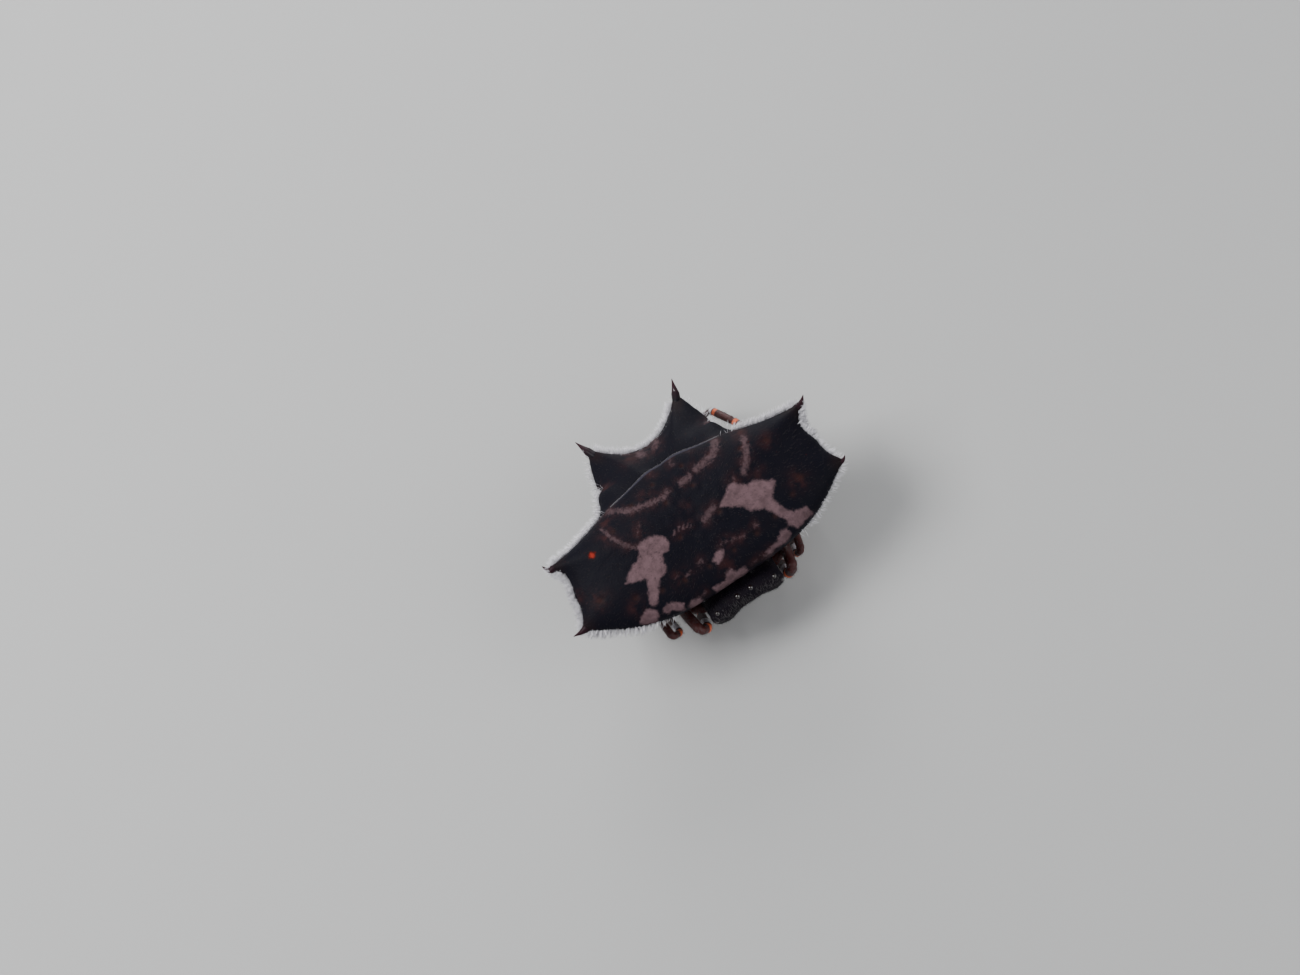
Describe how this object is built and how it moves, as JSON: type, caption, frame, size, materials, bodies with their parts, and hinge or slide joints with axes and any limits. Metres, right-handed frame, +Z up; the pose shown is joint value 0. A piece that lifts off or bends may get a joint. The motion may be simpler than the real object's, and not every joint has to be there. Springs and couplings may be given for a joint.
{
  "type": "spiny orb weaver",
  "caption": "Spiny orb weaver spider with a broad black six-horned abdomen, pale patches and tucked red-brown legs, standing on its feet.",
  "frame": {"origin": "on the floor, under the middle of the whole figure's box", "axes": "+Z up; the head faces -Y; the animal's left side is +X"},
  "size_m": [0.0112, 0.0086, 0.0046],
  "materials": {
    "black_shell": "hard black cuticle with a satin gloss and dusty pink-white patches",
    "black_carapace": "black cuticle, finely pitted, satin",
    "red_brown_leg": "dark red-brown cuticle with orange joints",
    "eye": "glossy black lens"
  },
  "bodies": {
    "root": {"abdomen": "black_shell", "cephalothorax": "black_carapace", "chelicera_left": "black_carapace", "chelicera_right": "black_carapace", "eye_front_lateral_left": "eye", "eye_front_lateral_right": "eye", "eye_front_median_left": "eye", "eye_front_median_right": "eye", "eye_rear_lateral_left": "eye", "eye_rear_lateral_right": "eye", "eye_rear_median_left": "eye", "eye_rear_median_right": "eye", "leg_1_left_foot": "red_brown_leg", "leg_1_left_middle": "red_brown_leg", "leg_1_left_upper": "red_brown_leg", "leg_1_right_foot": "red_brown_leg", "leg_1_right_middle": "red_brown_leg", "leg_1_right_upper": "red_brown_leg", "leg_2_left_foot": "red_brown_leg", "leg_2_left_middle": "red_brown_leg", "leg_2_left_upper": "red_brown_leg", "leg_2_right_foot": "red_brown_leg", "leg_2_right_middle": "red_brown_leg", "leg_2_right_upper": "red_brown_leg", "leg_3_left_foot": "red_brown_leg", "leg_3_left_middle": "red_brown_leg", "leg_3_left_upper": "red_brown_leg", "leg_3_right_foot": "red_brown_leg", "leg_3_right_middle": "red_brown_leg", "leg_3_right_upper": "red_brown_leg", "leg_4_left_foot": "red_brown_leg", "leg_4_left_middle": "red_brown_leg", "leg_4_left_upper": "red_brown_leg", "leg_4_right_foot": "red_brown_leg", "leg_4_right_middle": "red_brown_leg", "leg_4_right_upper": "red_brown_leg", "palp_left": "red_brown_leg", "palp_right": "red_brown_leg", "pedicel": "black_carapace", "spinnerets": "black_carapace"}
  },
  "joints": []
}
